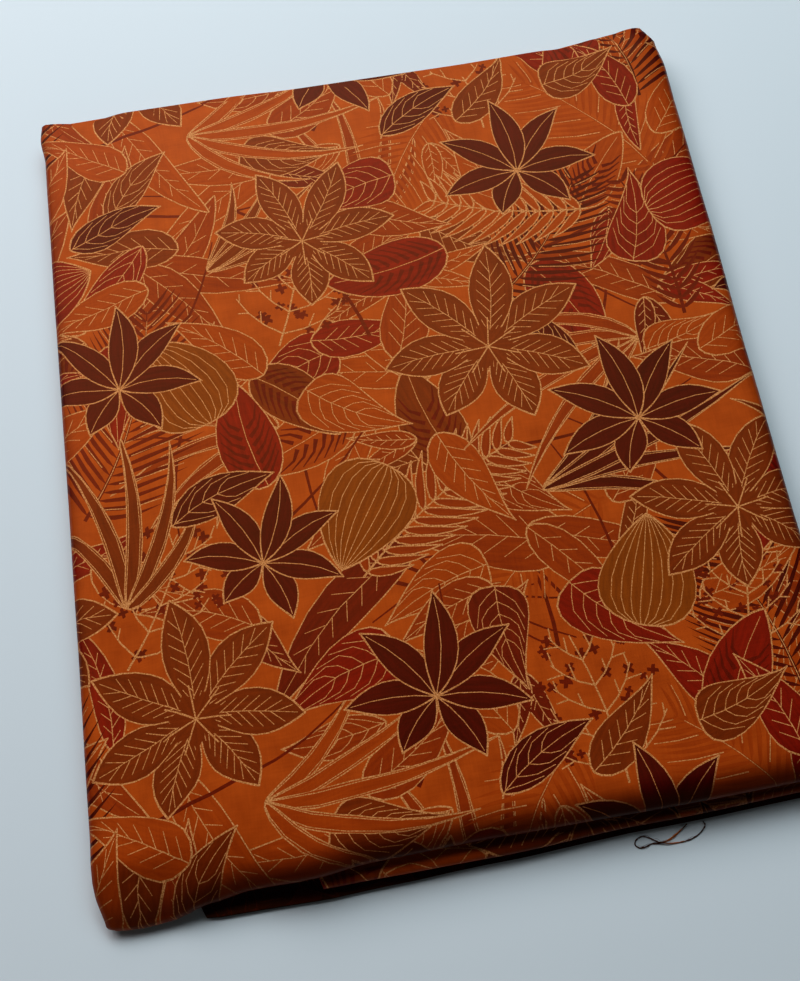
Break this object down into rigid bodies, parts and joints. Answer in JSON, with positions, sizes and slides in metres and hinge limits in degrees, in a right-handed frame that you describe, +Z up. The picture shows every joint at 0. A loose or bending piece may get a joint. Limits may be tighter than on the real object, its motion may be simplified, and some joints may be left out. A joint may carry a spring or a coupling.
{
  "type": "folded printed silk fabric",
  "caption": "Length of printed silk folded in four across its width and zigzag into a flat bundle that lies on a table, with a loop of loose thread.",
  "frame": {"origin": "on the table under the middle of the bundle", "axes": "+X to the right across the bundle, +Y from its front fold to its back edge, +Z up"},
  "size_m": [0.2894, 0.3641, 0.0182],
  "materials": {
    "printed_silk": "plain-woven silk, satin-soft, printed with dark red and ochre leaves and gold lines",
    "thread": "fine brown twisted thread, matt"
  },
  "bodies": {
    "root": {"folded_cloth": "printed_silk", "loose_thread": "thread"}
  },
  "joints": []
}
